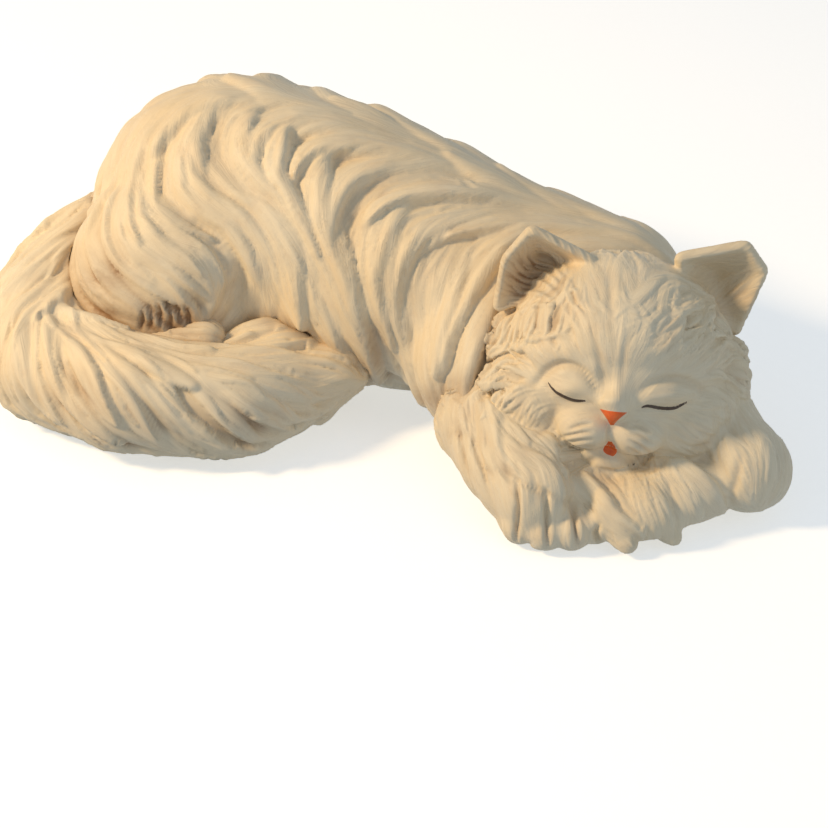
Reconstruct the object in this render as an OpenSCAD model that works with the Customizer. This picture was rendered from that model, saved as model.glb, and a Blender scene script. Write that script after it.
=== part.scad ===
// Sleeping long-haired cat figurine in bisque-fired white ceramic.
// The trunk, head and tail are slip-cast hollow shells, joined by small vents.
// The legs, ruff and ears are pressed solid and luted on with slip before firing.
// X runs from the tail end to the head end, and the face looks along -Y.
// The origin is on the resting surface, under the middle of the figure.

/* [Figure] */
// Length from the bend of the tail to the far forepaw
figure_length = 332; // [240:1:420]
// Wall of the slip-cast shells
wall = 5; // [4:0.5:7]
// Diameter of the vent in the underside
vent_d = 12; // [8:1:16]

/* [Head] */
// How far the face is turned towards the tail side, in degrees
head_yaw = -5; // [-8:1:4]
// How far the head is tipped over to the far ear, in degrees
head_roll = 7; // [2:1:12]
// Thickness of the painted nose, mouth and lash lines
paint = 0.5; // [0.4:0.1:1]

/* [Felt pads] */
// Diameter of each pad
pad_d = 18; // [12:1:22]
// Thickness of each pad
pad_h = 2; // [1:0.5:3]

/* [Hidden] */

bisque = "#e9dfcb";
nose_red = "#d9541e";
lash_black = "#1c1a1a";
felt = "#6b5d4c";

drawn_length = 332;
home = [17.1, -51.9, 0];

// A mass is an ellipsoid: its centre, then its radii.
rump = [[-75, 104, 56], [66, 62, 62]];
loin = [[-38, 92, 53], [54, 62, 60]];
ribs = [[-5, 80, 49], [50, 60, 55]];
chest = [[35, 64, 44], [46, 54, 46]];
withers = [[75, 48, 42], [44, 46, 40]];
spine = [rump, loin, ribs, chest, withers];
shoulder = [[32, 28, 34], [36, 40, 34]];
brisket = [[80, 14, 24], [52, 40, 24]];

// A limb runs through balls, each given as x, y, z and radius.
tail = [
    [-112, 106, 44, 32], [-142, 94, 35, 28], [-158.3, 66, 27, 25], [-152, 34, 25, 25], [-118, 12, 24, 24.5],
    [-74, 8, 22, 22], [-48, 24, 20, 18], [-33, 29, 25, 13]
];
tail_tuft = [[-70, 28, 32, 11], [-58, 34, 34, 11], [-38, 44, 28, 10]];
right_thigh = [[-103, 72, 46], [44, 44, 45]];
right_knee = [[-88, 54, 36], [21, 22, 28]];
right_hind_toes = [[-106, 34, 35, 10], [-86, 30, 40, 8]];
left_thigh = [[-62, 146, 34], [42, 26, 34]];
left_hind_foot = [[-26, 138, 14], [30, 16, 14]];
right_arm = [[30, -6, 24, 22], [38, -32, 20, 18], [47, -48, 16, 16]];
right_toe_x = [41, 51, 61, 70];
right_toe_y = [-56, -60, -60, -56];
right_toe_root = [-2, -44, 12];
right_toe_tip_z = 8;
toe_r = 7.5;
left_arm = [[114, -8, 24, 22], [124, -24, 20, 18], [132, -33, 18, 17]];

// The head's own frame: x to its left ear, -y to the nose, z to the crown.
head_at = [81, 0, 50];
skull = [[0, 0, 0], [46, 40, 43]];
head_cavity = [[0, 2, 0], [38, 31, 35]];
cheek = [[26, -10, -12], [25, 26, 23]];
jowl = [[41, 0, -5], [13, 16, 19]];
brow = [[0, -16, 20], [28, 20, 18]];
muzzle = [[9, -30, -10], [14, 14, 11]];
chin = [[0, -27, -24], [15, 13, 9]];
bridge_top = [0, -30, 12];
bridge_r = 9;
nose_tip = [0, -40, 2];
nose_tip_r = 5;

// Painted outlines, on the head's x-z plane.
lash_inner = [10.5, 2];
lash_outer = [28, 4.8];
lash_sag = 2.2;
lash_r = 0.6;
lash_steps = 6;
nose_at = [-1, 2.2];
nose_corners = [[-4.2, 1.2], [4.2, 1.2], [0, -2.2]];
nose_r = 1.3;
mouth_at = [-0.4, -18];
mouth_corners = [[0, 3], [-1.8, -1.5], [1.8, -1.5]];
mouth_r = 1.2;

// Each ear's rim runs from the near base corner over the tip to the far one; its back is the root behind.
right_ear_rim = [[34, 4, 72], [37, 7, 91], [46, 9, 102], [68, 6, 91]];
right_ear_back = [54, 20, 84];
left_ear_rim = [[105, 9, 90], [130, 11, 94], [137, 10, 84], [128, 6, 60]];
left_ear_back = [117, 20, 77];
ear_rim_r = 3.2;
ear_root_r = 8;
ear_hollow_r = 5;
ear_scoop = [0, -5, 0];
ear_rim_inset = 0.12;
ear_root_inset = 0.3;

ruff_masses = [
    [[50, -24, 20], [19, 21, 20]], [[70, -38, 12], [18, 17, 12]], [[86, -43, 11], [26, 21, 12]],
    [[104, -35, 13], [24, 21, 14]], [[114, -8, 22], [20, 26, 20]]
];
ruff_locks = [
    [[76, -52, 12, 9], [83, -65, 5, 3]], [[94, -50, 12, 9], [101, -60, 5, 3]],
    [[62, -44, 14, 9], [70, -60, 6, 3]]
];

belly_vent_at = [-10, 70, -0.01];
belly_vent_h = 20;
neck_vent_h = 45;
tail_vent_at = [-150, 96, 36];
tail_vent_h = 30;
pad_centres = [[-90, 88], [-95, 12], [20, 62], [88, -32]];

fine = 24;
round_pad = 48;
room = 250;
sweep_from = 20;
sweep_length = 40;

module mass(m, inset = 0)
    translate(m[0])
        scale(m[1] - [inset, inset, inset])
            sphere(1, $fn = fine);

module limb(balls, inset = 0)
    for (i = [0 : len(balls) - 2])
        hull()
            for (b = [balls[i], balls[i + 1]])
                translate([b[0], b[1], b[2]])
                    sphere(b[3] - inset, $fn = fine);

// Keeps a sculpted piece as one closed skin.
module one_skin()
    resize([0, 0, 0])
        children();

module above(z)
    translate([-room, -room, z])
        cube([2 * room, 2 * room, room]);

module trunk_form(inset = 0)
    intersection() {
        union() {
            for (i = [0 : len(spine) - 2])
                hull() {
                    mass(spine[i], inset);
                    mass(spine[i + 1], inset);
                }
            hull() {
                mass(chest, inset);
                mass(shoulder, inset);
            }
            mass(brisket, inset);
        }
        above(pad_h + inset);
    }

module on_head()
    translate(head_at)
        rotate([0, head_roll, head_yaw])
            children();

module both_sides()
    for (side = [-1, 1])
        scale([side, 1, 1])
            children();

// Skull, brow, cheeks, muzzle and the short bridge of a flat-faced cat, grown by the given skin.
module head_form(skin = 0)
    on_head() {
        mass(skull, -skin);
        mass(brow, -skin);
        mass(chin, -skin);
        hull() {
            translate(bridge_top)
                sphere(bridge_r + skin, $fn = fine);
            translate(nose_tip)
                sphere(nose_tip_r + skin, $fn = fine);
        }
        both_sides() {
            mass(cheek, -skin);
            mass(jowl, -skin);
            mass(muzzle, -skin);
        }
    }

module tail_form() {
    limb(tail);
    limb(tail_tuft);
}

module ruff_form() {
    for (m = ruff_masses)
        mass(m);
    for (lock = ruff_locks)
        limb(lock);
}

module right_thigh_form() {
    mass(right_thigh);
    mass(right_knee);
}

module left_thigh_form() {
    mass(left_thigh);
    mass(left_hind_foot);
}

module right_arm_form() {
    limb(right_arm);
    for (i = [0 : len(right_toe_x) - 1])
        limb([
            [right_toe_x[i] + right_toe_root[0], right_toe_root[1], right_toe_root[2], toe_r],
            [right_toe_x[i], right_toe_y[i], right_toe_tip_z, toe_r]
        ]);
}

// A pricked ear: a rim of balls from one base corner over the tip to the other, thick at the back
// and scooped out in front.
module ear_form(rim, back) {
    middle = (rim[0] + rim[1] + rim[2] + rim[3]) / 4;
    difference() {
        hull() {
            for (p = rim)
                translate(p)
                    sphere(ear_rim_r, $fn = fine);
            translate(back)
                sphere(ear_root_r, $fn = fine);
        }
        hull() {
            for (p = rim)
                translate(p + ear_rim_inset * (middle - p) + ear_scoop)
                    sphere(ear_rim_r, $fn = fine);
            translate(back + ear_root_inset * (middle - back) + ear_scoop / 2)
                sphere(ear_hollow_r, $fn = fine);
        }
    }
}

// Vents let the hollow shells breathe into each other in the kiln.
module vents() {
    translate(belly_vent_at)
        cylinder(h = belly_vent_h, d = vent_d, $fn = fine);
    translate(head_at)
        rotate([-90, 0, 0])
            cylinder(h = neck_vent_h, d = vent_d, $fn = fine);
    translate(tail_vent_at)
        rotate([0, 90, 0])
            cylinder(h = tail_vent_h, d = vent_d, $fn = fine);
}

module trunk_shell()
    color(bisque)
        one_skin()
            difference() {
                trunk_form();
                trunk_form(wall);
                vents();
            }

module head_shell()
    color(bisque)
        one_skin()
            difference() {
                head_form();
                trunk_form();
                difference() {
                    on_head()
                        mass(head_cavity);
                    trunk_form(-wall);
                }
                vents();
            }

module ruff()
    color(bisque)
        one_skin()
            difference() {
                intersection() {
                    ruff_form();
                    above(pad_h);
                }
                head_form();
                trunk_form();
            }

module tail_shell()
    color(bisque)
        one_skin()
            difference() {
                intersection() {
                    tail_form();
                    above(pad_h);
                }
                trunk_form();
                right_thigh_form();
                difference() {
                    intersection() {
                        limb(tail, wall);
                        above(pad_h + wall);
                    }
                    trunk_form(-wall);
                    mass(right_thigh, -wall);
                }
                vents();
            }

module right_hind_leg()
    color(bisque)
        one_skin()
            difference() {
                intersection() {
                    right_thigh_form();
                    above(pad_h);
                }
                trunk_form();
            }

module right_hind_paw()
    color(bisque)
        one_skin()
            difference() {
                limb(right_hind_toes);
                tail_form();
                trunk_form();
                right_thigh_form();
            }

module left_hind_leg()
    color(bisque)
        one_skin()
            difference() {
                intersection() {
                    left_thigh_form();
                    above(pad_h);
                }
                trunk_form();
            }

module right_foreleg()
    color(bisque)
        one_skin()
            difference() {
                intersection() {
                    right_arm_form();
                    above(pad_h);
                }
                trunk_form();
                ruff_form();
                head_form();
            }

module left_foreleg()
    color(bisque)
        one_skin()
            difference() {
                intersection() {
                    limb(left_arm);
                    above(pad_h);
                }
                trunk_form();
                ruff_form();
                head_form();
            }

module right_ear()
    color(bisque)
        one_skin()
            difference() {
                ear_form(right_ear_rim, right_ear_back);
                head_form();
            }

module left_ear()
    color(bisque)
        one_skin()
            difference() {
                ear_form(left_ear_rim, left_ear_back);
                head_form();
            }

// A thin coat of paint on the head, where an outline drawn on its x-z plane sweeps back onto the face.
module painted()
    one_skin()
        intersection() {
            difference() {
                head_form(paint);
                head_form();
            }
            on_head()
                translate([0, -sweep_from, 0])
                    rotate([90, 0, 0])
                        linear_extrude(sweep_length)
                            children();
        }

module dots(points, r)
    hull()
        for (p = points)
            translate(p)
                circle(r, $fn = fine);

module nose_paint()
    color(nose_red)
        painted()
            translate(nose_at)
                dots(nose_corners, nose_r);

module mouth_paint()
    color(nose_red)
        painted()
            translate(mouth_at)
                dots(mouth_corners, mouth_r);

// The closed lid's lash line: an arc that sags between its inner and outer ends.
module lash(side)
    for (i = [0 : lash_steps - 1])
        dots([
            for (t = [i, i + 1] / lash_steps)
                let (p = lash_inner + t * (lash_outer - lash_inner))
                    [side * p[0], p[1] - lash_sag * 4 * t * (1 - t)]
        ], lash_r);

module right_lash_line()
    color(lash_black)
        painted()
            lash(-1);

module left_lash_line()
    color(lash_black)
        painted()
            lash(1);

module felt_pads()
    color(felt)
        for (p = pad_centres)
            translate([p[0], p[1], 0])
                cylinder(h = pad_h, d = pad_d, $fn = round_pad);

// Scales the drawn figure and brings its middle over the origin.
module placed()
    scale(figure_length / drawn_length)
        translate(home)
            children();

placed() trunk_shell();
placed() head_shell();
placed() ruff();
placed() tail_shell();
placed() right_hind_leg();
placed() right_hind_paw();
placed() left_hind_leg();
placed() right_foreleg();
placed() left_foreleg();
placed() right_ear();
placed() left_ear();
placed() nose_paint();
placed() mouth_paint();
placed() right_lash_line();
placed() left_lash_line();
placed() felt_pads();
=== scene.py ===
"""A long-haired cat asleep, in cream bisque: locks of fur carved over the cast forms, and a painted face."""
import math

import bmesh
import bpy
import numpy as np
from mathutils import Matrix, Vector
from mathutils.bvhtree import BVHTree


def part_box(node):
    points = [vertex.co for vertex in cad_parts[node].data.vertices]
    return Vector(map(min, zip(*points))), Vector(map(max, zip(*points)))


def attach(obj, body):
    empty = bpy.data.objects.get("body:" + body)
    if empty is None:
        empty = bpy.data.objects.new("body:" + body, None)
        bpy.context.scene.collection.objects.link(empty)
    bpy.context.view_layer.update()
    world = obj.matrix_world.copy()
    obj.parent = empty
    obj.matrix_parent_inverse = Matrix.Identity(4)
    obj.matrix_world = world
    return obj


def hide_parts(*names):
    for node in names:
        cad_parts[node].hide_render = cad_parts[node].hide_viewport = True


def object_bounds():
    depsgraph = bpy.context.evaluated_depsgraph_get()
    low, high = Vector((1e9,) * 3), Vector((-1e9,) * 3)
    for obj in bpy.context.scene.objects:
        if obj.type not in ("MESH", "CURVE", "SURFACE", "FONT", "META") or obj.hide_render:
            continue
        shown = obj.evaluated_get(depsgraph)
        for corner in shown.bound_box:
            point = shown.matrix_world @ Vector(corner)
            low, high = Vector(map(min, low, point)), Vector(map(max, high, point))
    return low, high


bl_info = {
    "name": "Sleeping Cat Figurine",
    "version": (1, 0, 0),
    "blender": (4, 5, 0),
    "location": "3D View > Sidebar > Figurine",
    "description": "Carves the fur of a sleeping ceramic cat and paints its face",
    "category": "Object",
}

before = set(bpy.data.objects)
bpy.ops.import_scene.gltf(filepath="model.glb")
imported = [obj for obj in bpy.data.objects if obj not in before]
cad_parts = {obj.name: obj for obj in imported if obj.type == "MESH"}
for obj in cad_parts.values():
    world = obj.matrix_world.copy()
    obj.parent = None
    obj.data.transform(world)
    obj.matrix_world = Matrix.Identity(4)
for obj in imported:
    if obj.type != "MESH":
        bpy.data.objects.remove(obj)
CAD_LOW, CAD_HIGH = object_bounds()

DRAWN_LENGTH = 0.332
SCALE = (CAD_HIGH.x - CAD_LOW.x) / DRAWN_LENGTH
MM = 0.001 * SCALE
WELD = 1e-5
TINY = 1e-12
RIGHT = np.array((1.0, 0.0, 0.0))
FLOOR_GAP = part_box("felt_pads")[1].z

# How deep smoothing reaches beside a seam, and how far the painted shade creeps out of a crease between
# pieces.
SEAM_NEAR, SEAM_FAR = 0.3 * MM, 2.5 * MM
SEAM_HOLD = 0.12
CREASE_NEAR, CREASE_FAR = 0.5 * MM, 7 * MM
CREASE_REACH = 12 * MM
OWNER_REACH = 20 * MM

# A face is shut in when this share of the ways out of it, looked at no flatter than LOOK_SLANT, is blocked.
LOOK_COUNT = 60
LOOK_SLANT = 0.15
SHUT_IN_SHARE = 0.86

# The parts of a lock: the steps along its line, and how far across it its crest stands.
STEPS = 22
CREST = 0.4

HOLLOW = ("trunk_shell", "head_shell", "tail_shell")
BODY = ("trunk_shell", "right_hind_leg", "left_hind_leg")
TAIL = ("tail_shell",)
PAW = ("right_hind_paw",)
HEAD = ("head_shell", "right_ear", "left_ear")
FRONT = ("ruff", "right_foreleg", "left_foreleg")
BISQUE_NODES = BODY + TAIL + PAW + HEAD + FRONT


# ---------------------------------------------------------------- places on the figure

def within(node, fx, fy, fz):
    """The point at these fractions of a node's box."""
    low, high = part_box(node)
    return np.array([a + f * (b - a) for a, b, f in zip(low, high, (fx, fy, fz))])


def unit(vectors):
    vectors = np.asarray(vectors, float)
    return vectors / (np.linalg.norm(vectors, axis=-1, keepdims=True) + TINY)


def ease(low, high, values):
    """0 at low and before, 1 at high and beyond, and a smooth step between."""
    t = np.clip((values - low) / (high - low), 0, 1)
    return t * t * (3 - 2 * t)


class Sight:
    """How the figure looks to its owner, from in front and above.

    A place is read as how far right of and above the aim point it looks, in thousandths of its distance.
    """
    tilt = math.radians(36)
    distance = 0.9 * SCALE
    aim_across, aim_back = 0.5515, 0.2835

    def __init__(self):
        wide, deep = CAD_HIGH.x - CAD_LOW.x, CAD_HIGH.y - CAD_LOW.y
        self.aim = np.array((
            CAD_LOW.x + self.aim_across * wide, CAD_LOW.y + self.aim_back * deep, CAD_LOW.z,
        ))
        self.back = np.array((0.0, -math.cos(self.tilt), math.sin(self.tilt)))
        self.up = np.array((0.0, math.sin(self.tilt), math.cos(self.tilt)))
        self.eye = self.aim + self.back * self.distance

    def read(self, points):
        gap = points - self.aim
        depth = self.distance - gap @ self.back
        return 1000 * np.stack((gap[:, 0] / depth, gap @ self.up / depth), 1)

    def ray(self, right, up):
        return unit(0.001 * right * RIGHT + 0.001 * up * self.up - self.back)


SIGHT = Sight()


# ---------------------------------------------------------------- forms

def tree_of(nodes):
    """One search tree over several CAD nodes."""
    points, faces = [], []
    for node in nodes:
        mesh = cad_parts[node].data
        first = len(points)
        points.extend(v.co.copy() for v in mesh.vertices)
        faces.extend([first + i for i in p.vertices] for p in mesh.polygons)
    return BVHTree.FromPolygons(points, faces)


def look_round(count):
    """Directions spread evenly over a sphere."""
    turn = math.pi * (3 - math.sqrt(5))
    for i in range(count):
        z = 1 - (2 * i + 1) / count
        r = math.sqrt(1 - z * z)
        yield Vector((r * math.cos(turn * i), r * math.sin(turn * i), z))


LOOKS = list(look_round(LOOK_COUNT))


def shut_in(tree, face):
    """True for a face of a hollow's wall: nearly every way out of it is blocked."""
    start = face.calc_center_median() + face.normal * 1e-4
    ways = [d for d in LOOKS if d.dot(face.normal) > LOOK_SLANT]
    blocked = sum(tree.ray_cast(start, d)[0] is not None for d in ways)
    return blocked > SHUT_IN_SHARE * len(ways)


def joined(items, beside):
    """Sorts faces or edges into connected groups, stepping from each to those beside it."""
    left, groups = set(items), []
    while left:
        group, front = [], [left.pop()]
        while front:
            item = front.pop()
            group.append(item)
            for other in beside(item):
                if other in left:
                    left.remove(other)
                    front.append(other)
        groups.append(group)
    return groups


def parts_of(faces):
    """Sorts faces into connected parts, the largest first."""
    parts = joined(faces, lambda face: [other for side in face.edges for other in side.link_faces])
    return sorted(parts, key=len, reverse=True)


def keep_largest(form):
    """Drops the crumbs of a form."""
    crumbs = [face for part in parts_of(form.faces)[1:] for face in part]
    bmesh.ops.delete(form, geom=crumbs, context="FACES")


def plain_copy(node):
    """A welded copy of a cast piece, without the wall that faces its hollow."""
    form = bmesh.new()
    form.from_mesh(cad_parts[node].data)
    bmesh.ops.remove_doubles(form, verts=form.verts, dist=WELD)
    form.normal_update()
    if node in HOLLOW:
        tree = BVHTree.FromBMesh(form)
        bmesh.ops.delete(form, geom=[f for f in form.faces if shut_in(tree, f)], context="FACES")
        keep_largest(form)
        bmesh.ops.holes_fill(form, edges=[e for e in form.edges if e.is_boundary], sides=0)
    return form


def link(name, mesh):
    piece = bpy.data.objects.new(name, mesh)
    bpy.context.scene.collection.objects.link(piece)
    return piece


def even_skin(nodes, voxel):
    """Turns several cast pieces into one closed skin of even faces."""
    whole = bpy.data.meshes.new("rough")
    form = bmesh.new()
    for node in nodes:
        part = plain_copy(node)
        part.to_mesh(whole)
        part.free()
        form.from_mesh(whole)
    form.to_mesh(whole)
    form.free()
    rough = link("rough", whole)
    remesh = rough.modifiers.new("even", "REMESH")
    remesh.mode = "VOXEL"
    remesh.voxel_size = voxel
    finished = rough.evaluated_get(bpy.context.evaluated_depsgraph_get())
    even = bpy.data.meshes.new_from_object(finished)
    bpy.data.objects.remove(rough)
    bpy.data.meshes.remove(whole)
    form = bmesh.new()
    form.from_mesh(even)
    keep_largest(form)
    bmesh.ops.delete(form, geom=[v for v in form.verts if not v.link_faces], context="VERTS")
    form.to_mesh(even)
    form.free()
    return even


def corner_table(mesh):
    """The point at each face corner, and the first corner and corner count of each face."""
    points = np.empty(len(mesh.loops), np.int32)
    mesh.loops.foreach_get("vertex_index", points)
    starts = np.empty(len(mesh.polygons), np.int32)
    mesh.polygons.foreach_get("loop_start", starts)
    totals = np.empty(len(mesh.polygons), np.int32)
    mesh.polygons.foreach_get("loop_total", totals)
    return points, starts, totals


class Clay:
    """A skin being worked: its points and outward directions as arrays, and the marks left for the finish,
    the painted crease shade among them.
    """

    def __init__(self, nodes, voxel, rounds):
        self.nodes = nodes
        self.mesh = even_skin(nodes, voxel)
        count = len(self.mesh.vertices)
        points = np.empty((count, 3), np.float32)
        self.mesh.vertices.foreach_get("co", points.ravel())
        self.points = points.astype(float)
        self.edges = np.empty((len(self.mesh.edges), 2), np.int32)
        self.mesh.edges.foreach_get("vertices", self.edges.ravel())
        self.strand = np.zeros((count, 2))
        self.run = np.tile(SIGHT.up, (count, 1))
        self.side = np.tile(RIGHT, (count, 1))
        # The furrows, and the tan painted shade that is laid in them and in the creases between pieces.
        self.furrow = np.zeros(count)
        self.crease_shade = np.zeros(count)
        self.tint = np.full(count, 0.5)
        self.owner = self.share_out()
        self.press()
        gaps = self.gap_to(tree_of([n for n in BISQUE_NODES if n not in nodes]), CREASE_REACH)
        self.relax(rounds, np.maximum(ease(SEAM_NEAR, SEAM_FAR, gaps), SEAM_HOLD))
        # Closeness to the other pieces, for the painted shade in the creases where they meet.
        self.nook = self.soften(1 - ease(CREASE_NEAR, CREASE_FAR, gaps), 4)

    def press(self):
        """Writes the points to the mesh and reads its directions again."""
        self.mesh.vertices.foreach_set("co", self.points.astype(np.float32).ravel())
        self.mesh.update()
        directions = np.empty((len(self.points), 3), np.float32)
        self.mesh.vertex_normals.foreach_get("vector", directions.ravel())
        self.out = directions.astype(float)

    def spread(self, values):
        """The mean of a value over each point's neighbours."""
        a, b = self.edges.T
        count = len(self.points)
        near = np.bincount(a, minlength=count) + np.bincount(b, minlength=count)
        total = np.bincount(a, values[b], count) + np.bincount(b, values[a], count)
        return total / np.maximum(near, 1)

    def relax(self, rounds, free=1.0):
        """Smooths the skin, fully where free is 1 and not at all where it is 0."""
        share = 0.5 * np.broadcast_to(free, len(self.points))
        for _ in range(rounds):
            for k in range(3):
                self.points[:, k] += share * (self.spread(self.points[:, k]) - self.points[:, k])
        self.press()

    def soften(self, values, rounds):
        """Blurs values over the skin."""
        for _ in range(rounds):
            values = 0.5 * values + 0.5 * self.spread(values)
        return values

    def gap_to(self, tree, reach):
        """How far each point is from a search tree, up to a reach."""
        gaps = np.full(len(self.points), float(reach))
        for i, p in enumerate(self.points):
            found = tree.find_nearest(Vector(p), reach)
            if found[0] is not None:
                gaps[i] = found[3]
        return gaps

    def share_out(self):
        """The cast piece that each face belongs to, with no stray islands."""
        if len(self.nodes) == 1:
            return np.zeros(len(self.mesh.polygons), np.int32)
        points, starts, totals = corner_table(self.mesh)
        gaps = []
        for node in self.nodes:
            gap = self.soften(self.gap_to(tree_of([node]), OWNER_REACH), 8)
            gaps.append(np.add.reduceat(gap[points], starts) / totals)
        owner = np.argmin(gaps, axis=0)
        form = bmesh.new()
        form.from_mesh(self.mesh)
        form.faces.ensure_lookup_table()
        for k in range(len(self.nodes)):
            faces = [form.faces[i] for i in np.flatnonzero(owner == k)]
            for part in parts_of(faces)[1:]:
                inside = {f.index for f in part}
                touching = (g.index for f in part for e in f.edges for g in e.link_faces)
                beside = [index for index in touching if index not in inside]
                if beside:
                    owner[list(inside)] = np.bincount(owner[beside]).argmax()
        form.free()
        return owner

    def part(self, *nodes):
        """1 on the points of the given cast pieces, and 0 on the others."""
        points, _, totals = corner_table(self.mesh)
        mine = np.isin(self.owner, [self.nodes.index(n) for n in nodes])
        share = np.bincount(points, np.repeat(mine, totals), len(self.points))
        return self.soften(share / np.maximum(np.bincount(points, minlength=len(self.points)), 1), 4)

    def border(self, *nodes):
        """1 where the given pieces meet the others, and 0 away from there."""
        share = self.soften(self.part(*nodes), 16)
        return 1 - np.abs(2 * share - 1)

    def push(self, height):
        """Moves the skin outwards, but never below the tops of the pads."""
        self.points += self.out * height[:, None]
        self.points[:, 2] = np.maximum(self.points[:, 2], FLOOR_GAP)
        self.press()

    def facing(self):
        """1 where the skin faces the owner."""
        return ease(0.0, 0.3, self.out @ SIGHT.back)

    def spot(self, x, y, wide, tall):
        """A soft round patch: 1 in its middle and 0 well outside."""
        seen = SIGHT.read(self.points)
        return np.exp(-(((seen[:, 0] - x) / wide) ** 2 + ((seen[:, 1] - y) / tall) ** 2)) * self.facing()

    def spots(self, places):
        """Several soft patches as one mask."""
        return np.clip(sum(self.spot(*place) for place in places), 0, 1)

    def dab(self, x, y, wide, tall, height):
        """Presses a soft mound, or a hollow, onto the skin."""
        self.push(MM * height * self.spot(x, y, wide, tall))

    def groove(self, line, width, depth, furrow_shade=0.6):
        """Draws a tool along a line that fades at both ends."""
        seen = SIGHT.read(self.points)
        line = fine_run(line, 24)
        box = (seen > line.min(0) - 3 * width).all(1) & (seen < line.max(0) + 3 * width).all(1)
        near = np.flatnonzero(box)
        gaps = np.linalg.norm(seen[near, None] - line[None], axis=2)
        step = gaps.argmin(1)
        gap = gaps[np.arange(len(near)), step]
        ends = np.sin(math.pi * (step + 1) / (len(line) + 1)) ** 0.5
        cut = np.zeros(len(seen))
        cut[near] = np.exp(-(gap / width) ** 2) * ends
        cut *= self.facing()
        # A cut groove is also marked for painted shade, as strongly as its shade share.
        if depth > 0:
            self.furrow = np.maximum(self.furrow, furrow_shade * cut)
        self.push(-MM * depth * cut)

    def mark_up(self):
        """Leaves the strand map and the marks for the finish on the mesh, the painted crease shade among
        them.
        """
        mesh = self.mesh
        points, starts, totals = corner_table(mesh)
        lead = np.repeat(points[starts], totals)
        step = self.points[points] - self.points[lead]
        places = self.strand[lead].copy()
        places[:, 0] += (step * self.side[lead]).sum(1)
        places[:, 1] += (step * self.run[lead]).sum(1)
        layer = mesh.uv_layers.new(name="strands")
        layer.data.foreach_set("uv", places.astype(np.float32).ravel())
        for name, values in (("crease_shade", self.crease_shade), ("tint", self.tint)):
            mark = mesh.attributes.new(name, "FLOAT", "POINT")
            mark.data.foreach_set("value", np.clip(values, 0, 1).astype(np.float32))
        index = mesh.attributes.new("home", "INT", "POINT")
        index.data.foreach_set("value", np.arange(len(self.points), dtype=np.int32))
        mesh.polygons.foreach_set("use_smooth", np.ones(len(mesh.polygons), bool))
        mesh.update()

    def deliver(self, names):
        """Cuts the skin into its cast pieces, closed and evenly shaded where they meet."""
        self.mark_up()
        for k, (node, name) in enumerate(zip(self.nodes, names)):
            form = bmesh.new()
            form.from_mesh(self.mesh)
            form.faces.ensure_lookup_table()
            form.verts.ensure_lookup_table()
            others = [form.faces[i] for i in np.flatnonzero(self.owner != k)]
            bmesh.ops.delete(form, geom=others, context="FACES")
            for rim in self.rims(form):
                self.close(form, rim)
            mesh = bpy.data.meshes.new(name)
            form.to_mesh(mesh)
            form.free()
            if len(self.nodes) > 1:
                self.keep_shading(mesh)
            hand_over(link(name, mesh), node, "bisque")

    def rims(self, form):
        """The closed rings of edges round a form's open sides."""
        open_edges = {e for e in form.edges if e.is_boundary}
        return joined(open_edges, lambda edge: [other for vert in edge.verts for other in vert.link_edges])

    def close(self, form, rim):
        """Draws a ring of edges together at a point behind the skin."""
        home = form.verts.layers.int["home"]
        verts = list({v for e in rim for v in e.verts})
        middle = sum((v.co for v in verts), Vector()) / len(verts)
        reach = sum((v.co - middle).length for v in verts) / len(verts)
        out = unit(sum(self.out[v[home]] for v in verts))
        made = bmesh.ops.extrude_edge_only(form, edges=rim)["geom"]
        drawn = [v for v in made if isinstance(v, bmesh.types.BMVert)]
        for edge in rim:
            edge.smooth = False
        apex = middle - 0.25 * reach * Vector(out)
        bmesh.ops.pointmerge(form, verts=drawn, merge_co=apex)
        for vert in form.verts:
            if (vert.co - apex).length < WELD:
                vert[home] = -1
                for face in vert.link_faces:
                    face.smooth = False

    def keep_shading(self, mesh):
        """Gives a cut piece the directions of the whole skin, except on its hidden closing faces."""
        home = np.empty(len(mesh.vertices), np.int32)
        mesh.attributes["home"].data.foreach_get("value", home)
        points, starts, totals = corner_table(mesh)
        closing = np.repeat(np.minimum.reduceat(home[points], starts) < 0, totals)
        directions = self.out[home[points]]
        directions[closing] = 0
        mesh.normals_split_custom_set(directions.tolist())


def fine_run(stations, count):
    """Points evenly along a smooth curve through a few stations."""
    stations = np.asarray(stations, float)
    at = np.linspace(0, len(stations) - 1.001, count)
    i = at.astype(int)
    t = (at - i)[:, None]
    padded = np.vstack((2 * stations[0] - stations[1], stations, 2 * stations[-1] - stations[-2]))
    a, b, c, d = (padded[i + k] for k in range(4))
    squared = (2 * a - 5 * b + 4 * c - d) * t ** 2
    cubed = (3 * b - a - 3 * c + d) * t ** 3
    return 0.5 * (2 * b + (c - a) * t + squared + cubed)


# ---------------------------------------------------------------- locks of fur

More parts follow.
